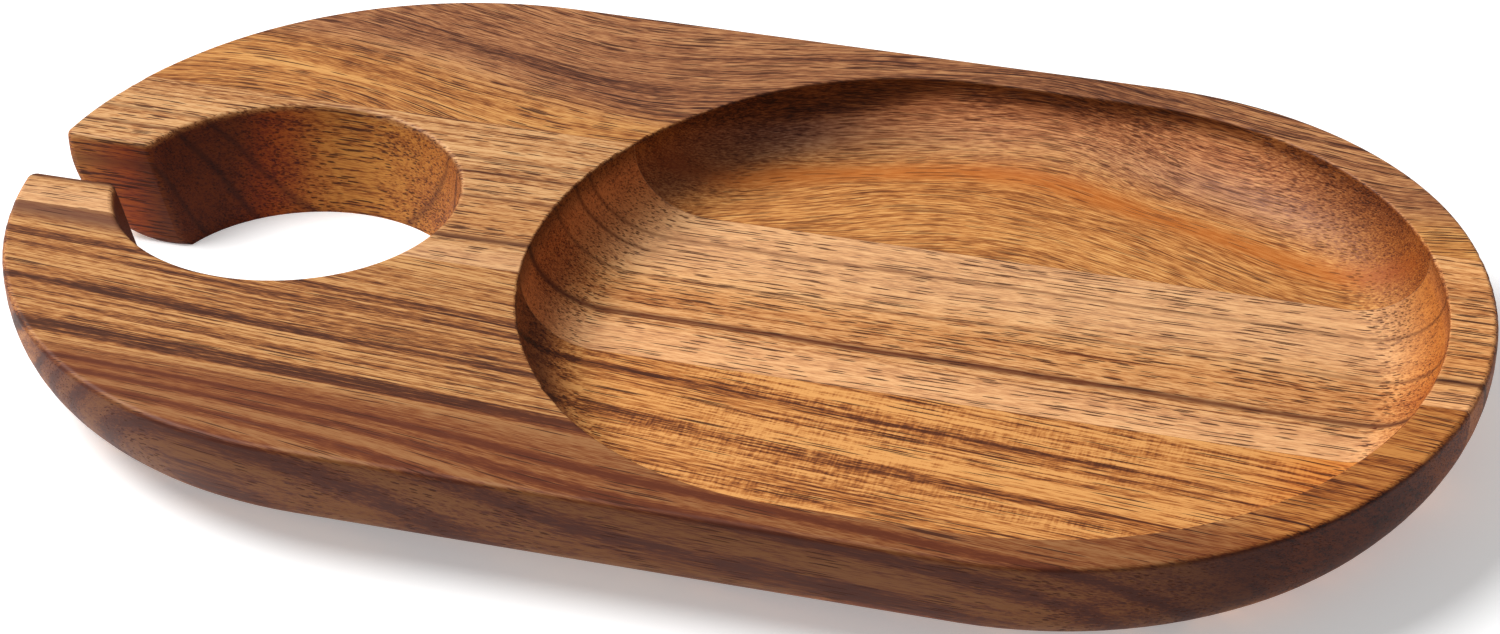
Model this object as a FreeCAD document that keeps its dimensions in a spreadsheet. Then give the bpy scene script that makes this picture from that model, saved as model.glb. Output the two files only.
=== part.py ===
"""Chip and dip server: an edge-glued acacia plate with a dish and a hole that carries a wine glass.

Staves are glued edge to edge with upright joints that run the length of the board, and the blank
is shaped after gluing. So every cut is made once, on the whole board, and each stave is then what
lies between its glue joints.

Millimetres. The origin is the middle of the underside, +X runs towards the dish end and +Z up.
"""
import FreeCAD, Part
import math
import os

import Sketcher

os.makedirs("parts", exist_ok=True)
doc = FreeCAD.newDocument("chip_and_dip_server")

# ------------------------------------------------------------------------ driving dimensions
DIMENSIONS = {
    # board: straight long sides, and round each end a broad tip arc between two corner arcs
    "board_length": 240.8,
    "board_width": 145.2,
    "board_thickness": 19.0,
    "board_left_tip_radius": 76.0,
    "board_left_corner_radius": 67.5,
    "board_right_tip_radius": 80.0,
    "board_right_corner_radius": 65.5,
    # outer side: an upright band under the top face, then a round that tucks in to the base
    "side_band": 2.2,
    "side_radius": 17.2,
    # dish: a flat floor and a coved wall, its outline made like the board's
    "dish_left": -33.3,
    "dish_right": 112.8,
    "dish_width": 131.2,
    "dish_left_tip_radius": 72.0,
    "dish_left_corner_radius": 53.0,
    "dish_right_tip_radius": 69.0,
    "dish_right_corner_radius": 61.3,
    "dish_depth": 12.4,
    "dish_cove": 11.4,
    # hole for the bowl of a wine glass, and the slot for its stem. The hole tapers downwards,
    # in degrees, and leans towards the dish on its way down. Its place and radius are on top.
    "hole_place": -76.7,
    "hole_radius": 28.0,
    "hole_taper": 7.3,
    "hole_lean": 8.8,
    "slot_width": 13.1,
    "slot_offset": 0.85,
    # rounded corners of the slot, and eased edges
    "mouth_rounding": 1.6,
    "throat_rounding": 1.8,
    "top_easing": 1.0,
    "dish_easing": 0.5,
    # glue joints: where each crosses the middle of the board, and its slant in degrees
    "back_joint": 29.7,
    "back_slant": 0.3,
    "front_joint": -14.3,
    "front_slant": 0.35,
    "glue_thickness": 0.1,
}

sheet = doc.addObject("Spreadsheet::Sheet", "dims")
for row, (name, value) in enumerate(DIMENSIONS.items(), start=1):
    sheet.set(f"A{row}", name)
    sheet.set(f"B{row}", str(value))
    sheet.setAlias(f"B{row}", name)
doc.recompute()

QUARTER = math.pi / 2
UP = FreeCAD.Vector(0, 0, 1)
SAME_PLACE = 0.01


# ------------------------------------------------------------------------ sketches
def flat_sketch(body, name, height=None):
    """A sketch parallel to the body's own XY plane, at a height given by a formula."""
    sketch = body.newObject("Sketcher::SketchObject", name)
    plane = next(item for item in body.Origin.OriginFeatures if item.Role == "XY_Plane")
    sketch.AttachmentSupport = [(plane, "")]
    sketch.MapMode = "FlatFace"
    if height:
        sketch.setExpression("AttachmentOffset.Base.z", height)
    return sketch


def dimension(sketch, formula, kind, *places):
    """Adds a dimensional constraint that takes its value from the sheet."""
    value = float(sketch.evalExpression(formula))
    index = sketch.addConstraint(Sketcher.Constraint(kind, *places, value))
    sketch.setExpression(f"Constraints[{index}]", formula)


def line(sketch, start, end):
    return sketch.addGeometry(Part.LineSegment(FreeCAD.Vector(*start), FreeCAD.Vector(*end)))


def arc(sketch, centre, radius, start, end):
    circle = Part.Circle(FreeCAD.Vector(*centre), UP, radius)
    return sketch.addGeometry(Part.ArcOfCircle(circle, start, end))


def rectangle(sketch, left, right, front, back):
    """A closed rectangle; each side's place is a formula."""
    low_x, high_x, low_y, high_y = (sketch.evalExpression(side) for side in (left, right, front, back))
    corners = [(low_x, low_y, 0), (high_x, low_y, 0), (high_x, high_y, 0), (low_x, high_y, 0)]
    sides = [line(sketch, *ends) for ends in zip(corners, corners[1:] + corners[:1])]
    for side, following, kind in zip(sides, sides[1:] + sides[:1], ("Horizontal", "Vertical") * 2):
        sketch.addConstraint(Sketcher.Constraint("Coincident", side, 2, following, 1))
        sketch.addConstraint(Sketcher.Constraint(kind, side))
    dimension(sketch, left, "DistanceX", -1, 1, sides[0], 1)
    dimension(sketch, right, "DistanceX", -1, 1, sides[0], 2)
    dimension(sketch, front, "DistanceY", -1, 1, sides[0], 1)
    dimension(sketch, back, "DistanceY", -1, 1, sides[2], 1)


def oval(sketch, half_width, left, right):
    """A closed outline: straight long sides, and three tangent arcs round each end.

    half_width is a formula; left and right each give formulas for where the tip is, for the
    radius of its arc and for the radius of the two corner arcs beside it.
    """
    half = sketch.evalExpression(half_width)
    ends = []
    for outwards, formulas in ((-1, left), (1, right)):
        tip, large, small = (sketch.evalExpression(formula) for formula in formulas)
        rise = half - small
        run = math.sqrt((large - small) ** 2 - rise ** 2)
        centre = tip - outwards * large
        ends.append((centre, large, centre + outwards * run, rise, small, math.atan2(rise, run)))
    left_centre, left_large, left_x, left_rise, left_small, left_turn = ends[0]
    right_centre, right_large, right_x, right_rise, right_small, right_turn = ends[1]

    loop = [
        line(sketch, (right_x, half, 0), (left_x, half, 0)),
        arc(sketch, (left_x, left_rise, 0), left_small, QUARTER, 2 * QUARTER - left_turn),
        arc(sketch, (left_centre, 0, 0), left_large, 2 * QUARTER - left_turn, 2 * QUARTER + left_turn),
        arc(sketch, (left_x, -left_rise, 0), left_small, 2 * QUARTER + left_turn, 3 * QUARTER),
        line(sketch, (left_x, -half, 0), (right_x, -half, 0)),
        arc(sketch, (right_x, -right_rise, 0), right_small, -QUARTER, -right_turn),
        arc(sketch, (right_centre, 0, 0), right_large, -right_turn, right_turn),
        arc(sketch, (right_x, right_rise, 0), right_small, right_turn, QUARTER),
    ]
    for piece, following in zip(loop, loop[1:] + loop[:1]):
        sketch.addConstraint(Sketcher.Constraint("Tangent", piece, 2, following, 1))
    back, left_back, left_tip, left_front, front, right_front, right_tip, right_back = loop
    sketch.addConstraint(Sketcher.Constraint("Horizontal", back))
    sketch.addConstraint(Sketcher.Constraint("Horizontal", front))
    dimension(sketch, half_width, "DistanceY", -1, 1, back, 1)
    dimension(sketch, half_width, "DistanceY", front, 1, -1, 1)
    for tip_arc, corners, inwards, formulas in (
        (left_tip, (left_back, left_front), "+", left),
        (right_tip, (right_back, right_front), "-", right),
    ):
        tip, large, small = formulas
        sketch.addConstraint(Sketcher.Constraint("PointOnObject", tip_arc, 3, -1))
        dimension(sketch, f"{tip} {inwards} {large}", "DistanceX", -1, 1, tip_arc, 3)
        dimension(sketch, large, "Radius", tip_arc)
        for corner in corners:
            dimension(sketch, small, "Radius", corner)


UNTURNED = "create(<<rotation>>; 0; 0; 0)"


def placement(base, rotation):
    """A placement, written as a formula."""
    return f"create(<<placement>>; {base}; {rotation})"


# ------------------------------------------------------------------------ features
def pocket(body, name, sketch, depth=None):
    """Cuts the sketch's outline downwards, to a depth given by a formula or right through."""
    before = body.Tip.Shape.Volume
    feature = body.newObject("PartDesign::Pocket", name)
    feature.Profile = sketch
    if depth:
        feature.setExpression("Length", depth)
    else:
        feature.Type = "ThroughAll"
    doc.recompute()
    if feature.Shape.Volume >= before:
        raise RuntimeError(f"{name} cuts nothing")


def rounding(body, name, radius, wanted):
    """Rounds the edges of the body that pass a test, with a radius given by a formula."""
    base = body.Tip
    chosen = [f"Edge{number}" for number, edge in enumerate(base.Shape.Edges, 1) if wanted(edge)]
    feature = body.newObject("PartDesign::Fillet", name)
    feature.Base = (base, chosen)
    feature.setExpression("Radius", radius)
    doc.recompute()
    if not chosen or "Invalid" in feature.State:
        raise RuntimeError(f"{name} rounds nothing")


def lies_at(edge, height):
    """Whether an edge lies flat at a height."""
    box = edge.BoundBox
    return abs(box.ZMin - height) < SAME_PLACE and abs(box.ZMax - height) < SAME_PLACE


# ------------------------------------------------------------------------ the board's outside
board = doc.addObject("PartDesign::Body", "board")

blank_sketch = flat_sketch(
    board, "blank_sketch", "dims.board_thickness - dims.side_band - dims.side_radius"
)
oval(
    blank_sketch,
    "dims.board_width / 2",
    ("-dims.board_length / 2", "dims.board_left_tip_radius", "dims.board_left_corner_radius"),
    ("dims.board_length / 2", "dims.board_right_tip_radius", "dims.board_right_corner_radius"),
)
blank = board.newObject("PartDesign::Pad", "blank")
blank.Profile = blank_sketch
blank.setExpression("Length", "dims.side_band + dims.side_radius")
doc.recompute()
rounding(board, "side_round", "dims.side_radius", lambda edge: edge.BoundBox.ZMax < 0)

# The round is deeper than the board is thick, and the flat base cuts it short.
base_sketch = flat_sketch(board, "base_sketch")
rectangle(base_sketch, "-dims.board_length", "dims.board_length", "-dims.board_width", "dims.board_width")
pocket(board, "base", base_sketch)

# ------------------------------------------------------------------------ dish
dish_sketch = flat_sketch(board, "dish_sketch", "dims.board_thickness")
oval(
    dish_sketch,
    "dims.dish_width / 2",
    ("dims.dish_left", "dims.dish_left_tip_radius", "dims.dish_left_corner_radius"),
    ("dims.dish_right", "dims.dish_right_tip_radius", "dims.dish_right_corner_radius"),
)
pocket(board, "dish", dish_sketch, "dims.dish_depth")
floor_height = sheet.board_thickness - sheet.dish_depth
rounding(board, "cove", "dims.dish_cove", lambda edge: lies_at(edge, floor_height))

# ------------------------------------------------------------------------ glass hole and slot
# The cone's middle is on the top face and it reaches twice the thickness up and down from it,
# so that its leaning ends stay clear of the board.
hole = board.newObject("PartDesign::SubtractiveCone", "hole")
reach = "2 * dims.board_thickness"
spread = f"{reach} * tan(dims.hole_taper * 1 deg)"
hole.setExpression("Radius1", f"dims.hole_radius - {spread}")
hole.setExpression("Radius2", f"dims.hole_radius + {spread}")
hole.setExpression("Height", f"2 * {reach}")
tilt = "create(<<rotation>>; create(<<vector>>; 0; 1; 0); -dims.hole_lean)"
mouth_centre = "create(<<vector>>; dims.hole_place; 0; dims.board_thickness)"
cone_foot = placement(f"create(<<vector>>; 0; 0; -{reach})", UNTURNED)
hole.setExpression("Placement", f"{placement(mouth_centre, tilt)} * {cone_foot}")
doc.recompute()

slot_sketch = flat_sketch(board, "slot_sketch", "dims.board_thickness")
rectangle(
    slot_sketch,
    "-dims.board_length",
    "dims.hole_place",
    "dims.slot_offset - dims.slot_width / 2",
    "dims.slot_offset + dims.slot_width / 2",
)
pocket(board, "slot", slot_sketch)


def down_slot_wall(edge, start, end):
    """Whether an edge runs down a slot wall, between two places along the board."""
    middle = edge.CenterOfMass
    beside = abs(abs(middle.y - sheet.slot_offset) - sheet.slot_width / 2) < SAME_PLACE
    upright = edge.BoundBox.ZLength > sheet.side_band
    return beside and upright and start < middle.x < end


slot_middle = (sheet.hole_place - sheet.hole_radius - sheet.board_length / 2) / 2
rounding(
    board,
    "throat",
    "dims.throat_rounding",
    lambda edge: down_slot_wall(edge, slot_middle, sheet.hole_place),
)
rounding(
    board,
    "mouth",
    "dims.mouth_rounding",
    lambda edge: down_slot_wall(edge, -sheet.board_length, slot_middle),
)

# ------------------------------------------------------------------------ eased edges
top_height = sheet.board_thickness


def on_dish_rim(edge):
    """Whether an edge lies within the dish's outline, or on the easing round it."""
    box = edge.BoundBox
    margin = 2 * sheet.dish_easing
    inside = box.XMin > sheet.dish_left - margin and box.XMax < sheet.dish_right + margin
    return inside and max(-box.YMin, box.YMax) < sheet.dish_width / 2 + margin


rounding(
    board,
    "dish_edge",
    "dims.dish_easing",
    lambda edge: lies_at(edge, top_height) and on_dish_rim(edge),
)
rounding(
    board,
    "top_edge",
    "dims.top_easing",
    lambda edge: lies_at(edge, top_height) and not on_dish_rim(edge),
)


# ------------------------------------------------------------------------ staves and glue
def slab(name, joint, start, depth):
    """An upright slab along a glue joint, from start behind its line, all as formulas."""
    box = doc.addObject("Part::Box", name)
    box.setExpression("Length", "2 * dims.board_length")
    box.setExpression("Width", depth)
    box.setExpression("Height", "2 * dims.board_thickness")
    slant = f"create(<<rotation>>; create(<<vector>>; 0; 0; 1); dims.{joint}_slant)"
    at_joint = placement(f"create(<<vector>>; 0; dims.{joint}_joint; 0)", slant)
    corner = f"create(<<vector>>; -dims.board_length; {start}; -dims.board_thickness / 2)"
    box.setExpression("Placement", f"{at_joint} * {placement(corner, UNTURNED)}")
    return box


def combine(kind, name, base, tool):
    """A Part::Common or Part::Cut of two objects."""
    result = doc.addObject(f"Part::{kind}", name)
    result.Base = base
    result.Tool = tool
    return result


glue_half = "dims.glue_thickness / 2"
behind_back = slab("behind_back", "back", glue_half, "dims.board_width")
before_back = slab("before_back", "back", f"-dims.board_width - {glue_half}", "dims.board_width")
back_film = slab("back_film", "back", f"-{glue_half}", "dims.glue_thickness")
behind_front = slab("behind_front", "front", glue_half, "dims.board_width")
before_front = slab("before_front", "front", f"-dims.board_width - {glue_half}", "dims.board_width")
front_film = slab("front_film", "front", f"-{glue_half}", "dims.glue_thickness")
between = combine("Common", "between", before_back, behind_front)

# The hole and the slot cut through the middle stave and the front joint, and leave a small
# piece of each on the front prong. This block takes in all of that prong's middle stave.
prong = doc.addObject("Part::Box", "prong")
prong.setExpression("Length", "dims.board_length / 2 + dims.hole_place")
prong.setExpression("Width", "dims.board_width / 2")
prong.setExpression("Height", "dims.board_thickness")
prong.setExpression("Placement.Base.x", "-dims.board_length / 2")
prong.setExpression("Placement.Base.y", "dims.slot_offset - dims.board_width / 2")

middle_wood = combine("Common", "middle_wood", board, between)
front_glue = combine("Common", "front_glue", board, front_film)
pieces = {
    "back_stave": combine("Common", "back_stave", board, behind_back),
    "middle_stave": combine("Cut", "middle_stave", middle_wood, prong),
    "middle_stave_tip": combine("Common", "middle_stave_tip", middle_wood, prong),
    "front_stave": combine("Common", "front_stave", board, before_front),
    "back_glue_line": combine("Common", "back_glue_line", board, back_film),
    "front_glue_line": combine("Cut", "front_glue_line", front_glue, prong),
    "tip_glue_line": combine("Common", "tip_glue_line", front_glue, prong),
}
for node, piece in pieces.items():
    piece.Label = node
doc.recompute()

# ------------------------------------------------------------------------ checks and files
for item in doc.Objects:
    if "Invalid" in item.State or "Error" in item.State:
        raise RuntimeError(f"{item.Name} failed")
for node, piece in pieces.items():
    shape = piece.Shape
    if shape.isNull() or not shape.isValid() or len(shape.Solids) != 1:
        raise RuntimeError(f"{node} is not one sound solid")
    shape.exportStep(f"parts/{node}.step")
    print(f"{node}: {shape.Volume / 1000:.2f} cm3")
whole = sum(piece.Shape.Volume for piece in pieces.values())
print(f"all pieces {whole / 1000:.2f} cm3, board {board.Shape.Volume / 1000:.2f} cm3")
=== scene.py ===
"""An edge-glued acacia chip and dip server, oiled, on a pale floor under soft studio light."""
import math

import bpy
from mathutils import Matrix

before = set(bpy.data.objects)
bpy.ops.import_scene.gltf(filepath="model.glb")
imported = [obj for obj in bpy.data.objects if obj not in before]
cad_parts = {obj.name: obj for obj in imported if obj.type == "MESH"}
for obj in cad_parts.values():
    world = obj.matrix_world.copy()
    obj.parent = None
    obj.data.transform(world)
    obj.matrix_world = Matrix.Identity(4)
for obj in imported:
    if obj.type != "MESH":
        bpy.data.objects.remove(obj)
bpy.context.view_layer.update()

# ------------------------------------------------------------------------ back stave
# The back third of the board: a medium brown acacia stave, planed, shaped with its neighbours
# and sanded, then wiped with oil. Its grain sways from side to side, so the growth layers make
# an arch across the dish and slant over the top.


class Shade:
    """One socket of a material, so that sums of these read as sums and add their Math nodes."""

    def __init__(self, tree, socket):
        self.tree = tree
        self.socket = socket

    def node(self, kind, settings, values, output=0):
        """Adds a node of any type: its settings first, then the values or links of its sockets."""
        made = self.tree.nodes.new(kind)
        stops = settings.pop("stops", None)
        for name, value in settings.items():
            setattr(made, name, value)
        if stops:
            for element, (place, colour) in zip(self.ramp_elements(made, len(stops)), stops):
                element.position = place
                element.color = colour
        for name, value in values.items():
            if isinstance(value, Shade):
                self.tree.links.new(value.socket, made.inputs[name])
            else:
                made.inputs[name].default_value = value
        return Shade(self.tree, made.outputs[output])

    def ramp_elements(self, made, count):
        """The stops of a new colour ramp, in order and as many as are asked for."""
        elements = made.color_ramp.elements
        for extra in range(count - 2):
            elements.new((extra + 1) / (count - 1))
        return elements

    def maths(self, operation, *values):
        return self.node("ShaderNodeMath", {"operation": operation}, dict(enumerate(values)))

    def __add__(self, other):
        return self.maths("ADD", self, other)

    def __radd__(self, other):
        return self.maths("ADD", other, self)

    def __sub__(self, other):
        return self.maths("SUBTRACT", self, other)

    def __rsub__(self, other):
        return self.maths("SUBTRACT", other, self)

    def __mul__(self, other):
        return self.maths("MULTIPLY", self, other)

    def __rmul__(self, other):
        return self.maths("MULTIPLY", other, self)

    def __truediv__(self, other):
        return self.maths("DIVIDE", self, other)

    def __rtruediv__(self, other):
        return self.maths("DIVIDE", other, self)

    def size(self):
        return self.maths("ABSOLUTE", self)

    def sine(self):
        return self.maths("SINE", self)

    def larger(self, other):
        return self.maths("MAXIMUM", self, other)

    def rise(self, low, high):
        """0 below low, 1 above high and a smooth slope between; the other way round if low > high."""
        start, end, first, last = (low, high, 0.0, 1.0) if low < high else (high, low, 1.0, 0.0)
        values = {"Value": self, "From Min": start, "From Max": end, "To Min": first, "To Max": last}
        return self.node("ShaderNodeMapRange", {"interpolation_type": "SMOOTHSTEP"}, values)

    def ramp(self, *stops):
        """A colour from this value, along (value, colour) stops."""
        return self.node("ShaderNodeValToRGB", {"stops": stops}, {"Fac": self})

    def blended(self, factor, other, kind="MIX"):
        """This colour with another over it, as strongly as factor says."""
        settings = {"data_type": "RGBA", "blend_type": kind, "clamp_result": True}
        return self.node("ShaderNodeMix", settings, {0: factor, 6: self, 7: other}, 2)


def tint(*strengths):
    """A colour for a socket, from the red, green and blue, 0 to 255, that a paint chart gives."""
    shares = [strength / 255 for strength in strengths]
    linear = [s / 12.92 if s <= 0.04045 else ((s + 0.055) / 1.055) ** 2.4 for s in shares]
    return linear + [1.0]


# Ovals round the dish, the glass hole and the stem slot, in millimetres: the middle along and
# across the board, then half the length and half the width.
DISH_OVAL = (39.8, 0.0, 76.0, 68.5)
HOLE_OVAL = (-76.7, 0.8, 30.5, 30.5)
SLOT_OVAL = (-106.0, 0.8, 60.0, 7.4)

# What the oil does to the wood in each place, and painted shade and bounce light; these multiply the
# colour of the stave.
END_GRAIN_STAIN = tint(198, 138, 80)
FAR_WALL_STAIN_AND_BOUNCE = tint(202, 180, 80)
NEAR_WALL_PAINTED_SHADE = tint(255, 232, 205)
HOLE_PAINTED_SHADE = tint(238, 212, 144)
SLOT_PAINTED_SHADE = tint(212, 146, 44)
THROAT_PAINTED_SHADE = tint(176, 190, 196)
EDGE_PAINTED_SHADE = tint(192, 174, 138)
OPEN_PORE = tint(64, 26, 8)


class Grain:
    """The grain of one stave, in millimetres: x along it, and the growth layer at each point."""

    def __init__(self, name):
        self.material = bpy.data.materials.new(name)
        self.material.use_nodes = True
        tree = self.material.node_tree
        tree.nodes.clear()
        self.start = Shade(tree, None)
        metres = self.start.node("ShaderNodeTexCoord", {}, {}, "Object")
        scaling = {"operation": "SCALE"}
        place = self.start.node("ShaderNodeVectorMath", scaling, {0: metres, "Scale": 1000.0})
        self.x, self.y, self.z = self.parts(place, "XYZ")
        normal = self.start.node("ShaderNodeTexCoord", {}, {}, "Normal")
        along, up = self.parts(normal, "XZ")
        self.end_grain = along.size().rise(0.1, 0.95)
        self.in_dish = self.within(*DISH_OVAL) * self.z.rise(18.6, 14.0)
        opening = self.within(*HOLE_OVAL).larger(self.within(*SLOT_OVAL))
        self.in_hole = opening * self.z.rise(18.8, 17.6)
        self.outer_edge = up.size().rise(0.9, 0.5) * (1 - self.in_dish) * (1 - self.in_hole)
        self.layer = self.y

    def parts(self, vector, axes):
        """The parts of a vector along the axes named."""
        return [self.start.node("ShaderNodeSeparateXYZ", {}, {0: vector}, axis) for axis in axes]

    def within(self, x, y, half_length, half_width):
        """1 inside an oval round a point of the board, and 0 outside it."""
        along, across = (self.x - x) / half_length, (self.y - y) / half_width
        return (along * along + across * across).rise(1.02, 0.98)

    def at(self, along, across, shift=0.0):
        """A place in the stave, with lengths along and across the grain brought to one."""
        values = {0: self.x / along + shift, 1: self.layer / across, 2: self.z / across}
        return self.start.node("ShaderNodeCombineXYZ", {}, values)

    def noise(self, along, across, detail=2.0, roughness=0.5, shift=0.0):
        """Soft noise about 0, its patches so long and so wide, drawn out along the grain."""
        place = self.at(along, across, shift)
        values = {"Vector": place, "Scale": 1.0, "Detail": detail, "Roughness": roughness}
        return self.start.node("ShaderNodeTexNoise", {}, values) - 0.5

    def pores(self, length, spacing, share, shift=0.0):
        """Open pores: short tubes along the grain, dashes on a side and dots on an end."""
        place = self.at(length, spacing, shift)
        values = {"Vector": place, "Scale": 1.0, "Randomness": 1.0}
        nearness = self.start.node("ShaderNodeTexVoronoi", {}, values, "Distance")
        chance = self.start.node("ShaderNodeTexVoronoi", {}, values, "Color")
        chance = self.start.node("ShaderNodeSeparateColor", {}, {0: chance}, 0)
        return nearness.rise(0.34, 0.24) * (share - chance).rise(0.0, 0.1)

    def band(self, middle, width, strength=1.0):
        """A growth layer that stands out, soft at both sides."""
        return (self.layer - middle).size().rise(width, 0.0) * strength

    def hairlines(self, length, width):
        """Fine dark latewood lines, the darkest part of a noise that is drawn out a long way."""
        return self.noise(length, width, 3.0, 0.6).rise(-0.1, -0.16)

    def stained_and_shaded(self, colour, painted_light):
        """The colour once oiled, end grain drinking more, with painted light and shade: a brighter
        dish, darker walls in the dish, hole, slot and throat, and darker outer sides.
        """
        # The dish's far wall: end grain darkened by oil, and painted orange bounce light.
        far_wall = self.in_dish * self.end_grain * self.x.rise(60.0, 95.0)
        # Painted shade on the dish's near wall.
        near_wall = self.in_dish * self.end_grain * self.x.rise(-5.0, -25.0)
        # Painted shade down the sides of the stem slot.
        slot_side = self.in_hole * (self.x + 100.0).size().rise(24.0, 8.0)
        # Painted shade on the outer sides, strongest towards the right end.
        edge = self.outer_edge * (0.35 + self.x.rise(-112.0, -70.0) * 0.65)
        # Painted shade in the throat between the glass hole and the slot.
        throat = self.in_hole * (self.x + 99.0).size().rise(11.0, 3.0)
        for place, stain_and_shade in (
            # Painted light: the whole dish is made brighter than the top.
            (self.in_dish, painted_light),
            (self.end_grain * 0.6, END_GRAIN_STAIN),
            (far_wall * 0.8, FAR_WALL_STAIN_AND_BOUNCE),
            (near_wall, NEAR_WALL_PAINTED_SHADE),
            # Painted shade inside the glass hole and the stem slot.
            (self.in_hole, HOLE_PAINTED_SHADE),
            (slot_side, SLOT_PAINTED_SHADE),
            (edge, EDGE_PAINTED_SHADE),
            (throat, THROAT_PAINTED_SHADE),
        ):
            colour = colour.blended(place, stain_and_shade, "MULTIPLY")
        return colour

    def finish(self, colour, pores, fibre, painted_light, node_name):
        """Oils the stave: oiled wood with painted light and shade, open pores, a satin sheen and a
        fine raised fibre.
        """
        colour = self.stained_and_shaded(colour, painted_light)
        colour = colour.blended(pores * (0.9 - self.end_grain * 0.35), OPEN_PORE)
        worn = self.noise(30.0, 18.0, 3.0)
        roughness = 0.54 + pores * 0.2 + fibre * 0.2 + worn * 0.12 + self.end_grain * 0.06
        sanding = self.noise(9.0, 7.0, 2.0, shift=5.0)
        height = sanding * 0.3 + fibre * 0.15 - pores * 0.6
        relief = {"Height": height, "Strength": 0.6, "Distance": 0.00025}
        surface = {
            "Base Color": colour,
            "Roughness": roughness,
            "Normal": self.start.node("ShaderNodeBump", {}, relief),
            "IOR": 1.4,
            "Specular IOR Level": 0.3,
        }
        shader = self.start.node("ShaderNodeBsdfPrincipled", {}, surface)
        output = self.start.tree.nodes.new("ShaderNodeOutputMaterial")
        self.start.tree.links.new(shader.socket, output.inputs["Surface"])
        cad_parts[node_name].material_slots[0].material = self.material


grain = Grain("back_stave_acacia")
sway_length = 130.0
sway = ((grain.x - 65.0) * (2 * math.pi / sway_length)).sine() * (10.4 - grain.z * 0.24)
wander = grain.noise(45.0, 22.0, 1.0) * 7.0
grain.layer = grain.y + grain.z * 0.8 + sway + wander
broad = grain.noise(150.0, 13.0, 2.0)
streaks = grain.noise(60.0, 2.6, 3.0, 0.6)
lines = grain.noise(34.0, 0.7, 2.0, 0.7)
fibre = grain.noise(3.0, 0.25, 2.0, 0.6)
hairs = grain.hairlines(50.0, 0.6)
stripes = broad * 0.9 + streaks + lines * 1.2 - hairs * 0.5
tone = 0.56 + stripes * (1 - grain.in_dish * 0.5) + fibre * 1.8
brown = tone.ramp(
    (0.05, tint(64, 32, 20)),
    (0.34, tint(112, 64, 38)),
    (0.58, tint(148, 94, 58)),
    (0.95, tint(186, 132, 86)),
)
orange = tone.ramp(
    (0.05, tint(92, 44, 16)),
    (0.34, tint(138, 80, 36)),
    (0.58, tint(174, 112, 56)),
    (0.95, tint(206, 150, 86)),
)
colour = brown.blended(grain.layer.rise(66.0, 54.0), orange)
arch = grain.band(53.0, 5.0) * grain.z.rise(19.0, 9.0)
colour = colour.blended(arch * 0.7, tint(166, 88, 28))
# Painted light: the upper back wall of the dish is made lighter.
cove_light_run = grain.x.rise(-5.0, 15.0) * grain.x.rise(90.0, 65.0)
painted_cove_light = grain.in_dish * grain.z.rise(8.0, 13.0) * cove_light_run
colour = colour.blended(painted_cove_light, (1.55, 1.6, 1.6, 1.0), "MULTIPLY")
shaded_wall = grain.in_dish * grain.z.rise(6.8, 10.0) * grain.x.rise(12.0, -10.0)
colour = colour.blended(shaded_wall, tint(190, 198, 236), "MULTIPLY")
pale_rim = (1 - grain.in_dish) * grain.x.rise(50.0, 75.0)
colour = colour.blended(pale_rim, (1.25, 1.28, 1.25, 1.0), "MULTIPLY")
long_pores = grain.pores(17.0, 0.55, 0.6 + grain.noise(60.0, 7.0) * 1.2)
short_pores = grain.pores(7.0, 0.5, 0.45 + grain.noise(50.0, 6.0) * 1.3, 3.0)
pores = long_pores.larger(short_pores) * (1 - grain.in_dish * 0.35)
# Painted light that makes this stave's dish brighter.
painted_dish_light = (1.28, 1.34, 1.42, 1.0)
grain.finish(colour, pores, fibre, painted_dish_light, "back_stave")

# ------------------------------------------------------------------------ middle stave
# The light middle of the board, with its narrow strip behind the glass hole and the tip that
# the hole and the slot cut off it. It is straight-grained acacia with long open pores in rows,
# and a few dark growth lines run right through it.
grain = Grain("middle_stave_acacia")
wander = grain.noise(55.0, 14.0, 1.0) * 3.0
grain.layer = grain.y + grain.z * 0.31 + wander
broad = grain.noise(160.0, 8.0, 2.0)
streaks = grain.noise(60.0, 1.6, 3.0, 0.6)
lines = grain.noise(26.0, 0.6, 2.0, 0.7)
fibre = grain.noise(2.5, 0.25, 2.0, 0.6)
hairs = grain.hairlines(80.0, 0.5)
tone = 0.62 + broad * 0.7 + streaks * 0.8 + lines * 1.2 + fibre * 2.0 - hairs * 0.7
colour = tone.ramp(
    (0.02, tint(92, 46, 20)),
    (0.34, tint(154, 98, 54)),
    (0.58, tint(186, 132, 82)),
    (0.95, tint(210, 162, 110)),
)
pale_back = grain.layer.rise(9.0, 20.0) * grain.in_dish
peach_front = grain.layer.rise(-1.5, -6.0)
pale_rim = grain.x.rise(100.0, 112.0)
deep_middle = grain.band(6.0, 9.0, 0.8)
colour = colour.blended(pale_back * 0.25, tint(222, 182, 142))
colour = colour.blended(peach_front * 0.22, tint(236, 184, 140))
colour = colour.blended(pale_rim, (1.35, 1.25, 1.12, 1.0), "MULTIPLY")
colour = colour.blended(deep_middle, tint(240, 226, 206), "MULTIPLY")
dark_lines = grain.band(-0.45, 1.6) + grain.band(12.0, 0.8, 0.6) + grain.band(24.0, 0.8, 0.6)
dark_lines = dark_lines + grain.band(19.6, 0.9, 0.7) * grain.x.rise(-10.0, -25.0)
colour = colour.blended(dark_lines * 0.9, tint(84, 38, 14))
long_pores = grain.pores(16.0, 0.5, 0.55 + grain.noise(50.0, 4.0) * 1.3)
share = 0.5 + grain.noise(40.0, 4.0) * 1.3 + grain.band(8.0, 8.0, 0.6)
pores = long_pores.larger(grain.pores(6.0, 0.5, share, 3.0))
# Painted light that makes this stave's dish brighter.
painted_dish_light = (1.22, 1.18, 1.14, 1.0)
grain.finish(colour, pores, fibre, painted_dish_light, "middle_stave")
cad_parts["middle_stave_tip"].material_slots[0].material = grain.material
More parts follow.
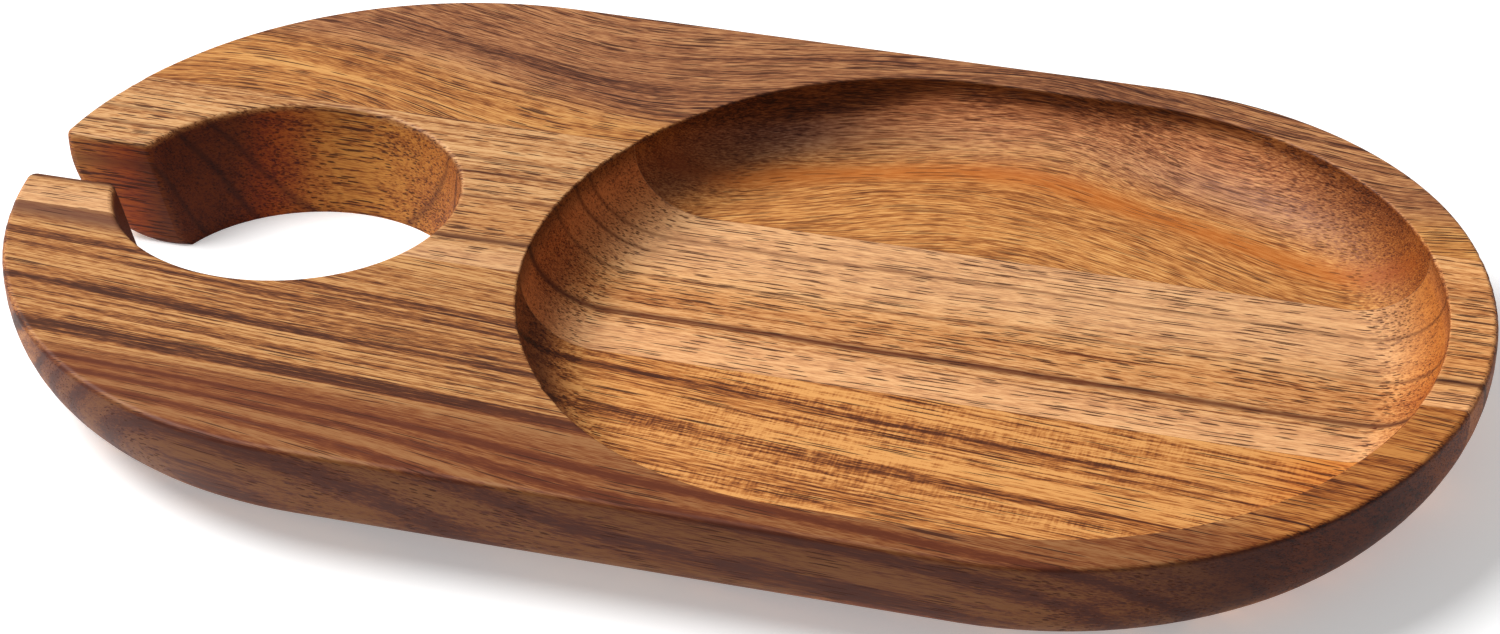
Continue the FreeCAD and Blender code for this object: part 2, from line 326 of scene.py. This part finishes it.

# ------------------------------------------------------------------------ front stave
# The front of the board: golden acacia heartwood with strong dark stripes, a curly cross figure
# in the dish, and a darker, redder and plainer colour along the front edge.
grain = Grain("front_stave_acacia")
bend = grain.y.rise(-52.0, -72.0) * grain.x * grain.x.rise(20.0, -40.0) * 0.15
grain.layer = grain.y + grain.z * 0.95 + grain.x * 0.07 + bend
wander = grain.noise(80.0, 24.0, 1.0) * 3.0
grain.layer = grain.layer + wander
broad = grain.noise(160.0, 9.0, 2.0)
streaks = grain.noise(80.0, 1.9, 3.0, 0.6)
lines = grain.noise(40.0, 0.65, 2.0, 0.7)
fibre = grain.noise(3.0, 0.25, 2.0, 0.6)
hairs = grain.hairlines(70.0, 0.6)
red_edge = grain.y.rise(-50.0, -58.0)
calm_end = 0.6 + grain.x.rise(-104.0, -88.0) * 0.4
calm_edge = 1 - red_edge * grain.z.rise(12.0, 17.0) * 0.5
stripes = (streaks * 1.4 + lines * 1.8 - hairs * 0.5) * calm_end
tone = 0.64 + broad * 0.6 + stripes * calm_edge + fibre * 1.8
dish_bands = grain.band(-13.4, 1.9) + grain.band(-26.0, 1.7) + grain.band(-17.0, 1.2, 0.4)
top_band = grain.band(-37.2, 3.0, 1.6) * grain.z.rise(8.0, 14.0) * grain.x.rise(50.0, 10.0)
dark_bands = dish_bands * grain.x.rise(95.0, 70.0) + top_band
side_bands = grain.band(-47.5, 1.8) + grain.band(-53.0, 2.0) + grain.band(-59.5, 2.4)
side_bands = side_bands + grain.band(-67.5, 2.8) + grain.band(-76.0, 3.0)
light_bands = grain.band(-40.5, 1.8) + grain.band(-20.5, 2.5, 0.6) + grain.band(-2.0, 4.5, 1.1)
light_bands = light_bands + grain.band(-56.2, 1.6, 0.6) + grain.band(-63.5, 2.0, 0.8)
light_bands = light_bands + grain.band(-71.5, 2.5)
tone = tone - dark_bands * 0.45 + light_bands * 0.24 - side_bands * 0.6
ripple = {"Vector": grain.at(0.45, 3.0), "Scale": 1.0, "Detail": 1.0, "Roughness": 0.5}
curl = grain.start.node("ShaderNodeTexNoise", {}, ripple) - 0.5
curly_patches = grain.noise(40.0, 8.0).rise(-0.1, 0.15) * grain.in_dish
tone = tone + curl * 0.8 * curly_patches
colour = tone.ramp(
    (0.02, tint(70, 33, 14)),
    (0.3, tint(112, 62, 30)),
    (0.56, tint(160, 101, 51)),
    (0.95, tint(200, 148, 92)),
)
colour = colour.blended(red_edge * 0.6, tint(104, 44, 16))
mauve_band = grain.band(-6.5, 5.0) * grain.x.rise(-88.0, -98.0)
colour = colour.blended(mauve_band * 0.9, tint(100, 58, 42))
far_end = grain.x.rise(84.0, 100.0)
colour = colour.blended(far_end, tint(252, 226, 186), "MULTIPLY")
# Painted shade: the outer sides at the right end are made darker.
outer_end = grain.outer_edge * grain.x.rise(70.0, 105.0) * grain.y.rise(-12.0, -38.0)
colour = colour.blended(outer_end, tint(158, 132, 104), "MULTIPLY")
shaded_wall = grain.in_dish * grain.z.rise(6.8, 10.0) * grain.x.rise(10.0, -18.0)
colour = colour.blended(shaded_wall, tint(188, 188, 210), "MULTIPLY")
pores = grain.pores(16.0, 0.5, 0.5 + grain.noise(60.0, 4.0) * 1.2)
# Painted light that makes this stave's dish brighter.
painted_dish_light = (1.27, 1.16, 0.95, 1.0)
grain.finish(colour, pores, fibre, painted_dish_light, "front_stave")

# ------------------------------------------------------------------------ glue lines
# Waterproof wood glue, a tenth of a millimetre thick once clamped, and sanded and oiled with
# the staves beside it. It shows as a brown hairline.
glue = bpy.data.materials.new("cured_wood_glue")
glue.use_nodes = True
start = Shade(glue.node_tree, None)
place = start.node("ShaderNodeTexCoord", {}, {}, "Object")
mottle = start.node("ShaderNodeTexNoise", {}, {"Vector": place, "Scale": 260.0, "Detail": 2.0})
colour = mottle.ramp((0.3, tint(112, 68, 38)), (0.7, tint(168, 112, 66)))
principled = glue.node_tree.nodes["Principled BSDF"]
glue.node_tree.links.new(colour.socket, principled.inputs["Base Color"])
glue.node_tree.links.new((0.4 + mottle * 0.2).socket, principled.inputs["Roughness"])
for node in ("back_glue_line", "front_glue_line", "tip_glue_line"):
    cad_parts[node].material_slots[0].material = glue

# ------------------------------------------------------------------------ studio
# A white acrylic light table, lit a little from below, a large soft lamp high on the left, a weak
# one at the front right and an even white room.
bpy.ops.object.select_all(action="DESELECT")
bpy.ops.mesh.primitive_plane_add(size=8.0)
floor = bpy.context.object
floor.name = "studio_floor"
white = (1.0, 1.0, 1.0, 1.0)
acrylic = bpy.data.materials.new("white_acrylic")
acrylic.use_nodes = True
sheet = acrylic.node_tree.nodes["Principled BSDF"]
sheet.inputs["Base Color"].default_value = (0.92, 0.92, 0.92, 1.0)
sheet.inputs["Roughness"].default_value = 0.8
sheet.inputs["Emission Color"].default_value = white
sheet.inputs["Emission Strength"].default_value = 0.32
floor.data.materials.append(acrylic)

# Each lamp has its angle round the board and above the floor in degrees, its distance and width
# in metres and its power in watts.
for name, azimuth, height, distance, width, power in (
    ("key_lamp", 178.0, 50.0, 1.3, 0.9, 24.0),
    ("fill_lamp", -60.0, 35.0, 1.6, 1.2, 0.6),
):
    spin = Matrix.Rotation(math.radians(azimuth), 4, "Z")
    tilt = Matrix.Rotation(math.radians(90 - height), 4, "Y")
    bpy.ops.object.light_add(type="AREA")
    lamp = bpy.context.object
    lamp.name = name
    lamp.data.shape = "DISK"
    lamp.data.size = width
    lamp.data.energy = power
    lamp.matrix_world = spin @ tilt @ Matrix.Translation((0, 0, distance))

room = bpy.data.worlds.new("white_room")
room.use_nodes = True
walls = room.node_tree.nodes["Background"]
walls.inputs["Color"].default_value = white
walls.inputs["Strength"].default_value = 0.25
bpy.context.scene.world = room
bpy.context.scene.view_settings.view_transform = "Standard"

# The camera stands in front and a little to the right, and looks down at the board. Its place is
# in metres and its angles are in degrees.
camera_place = (0.1854, -0.6009, 0.3990)
camera_heading = 16.99
camera_dip = 31.91
camera_roll = -0.61
bpy.ops.object.camera_add()
camera = bpy.context.object
camera.name = "camera"
camera.data.lens = 110.7
camera.data.sensor_width = 36.0
heading = Matrix.Rotation(math.radians(camera_heading), 4, "Z")
dip = Matrix.Rotation(math.radians(90 - camera_dip), 4, "X")
roll = Matrix.Rotation(math.radians(camera_roll), 4, "Z")
camera.matrix_world = Matrix.Translation(camera_place) @ heading @ dip @ roll
bpy.context.scene.camera = camera
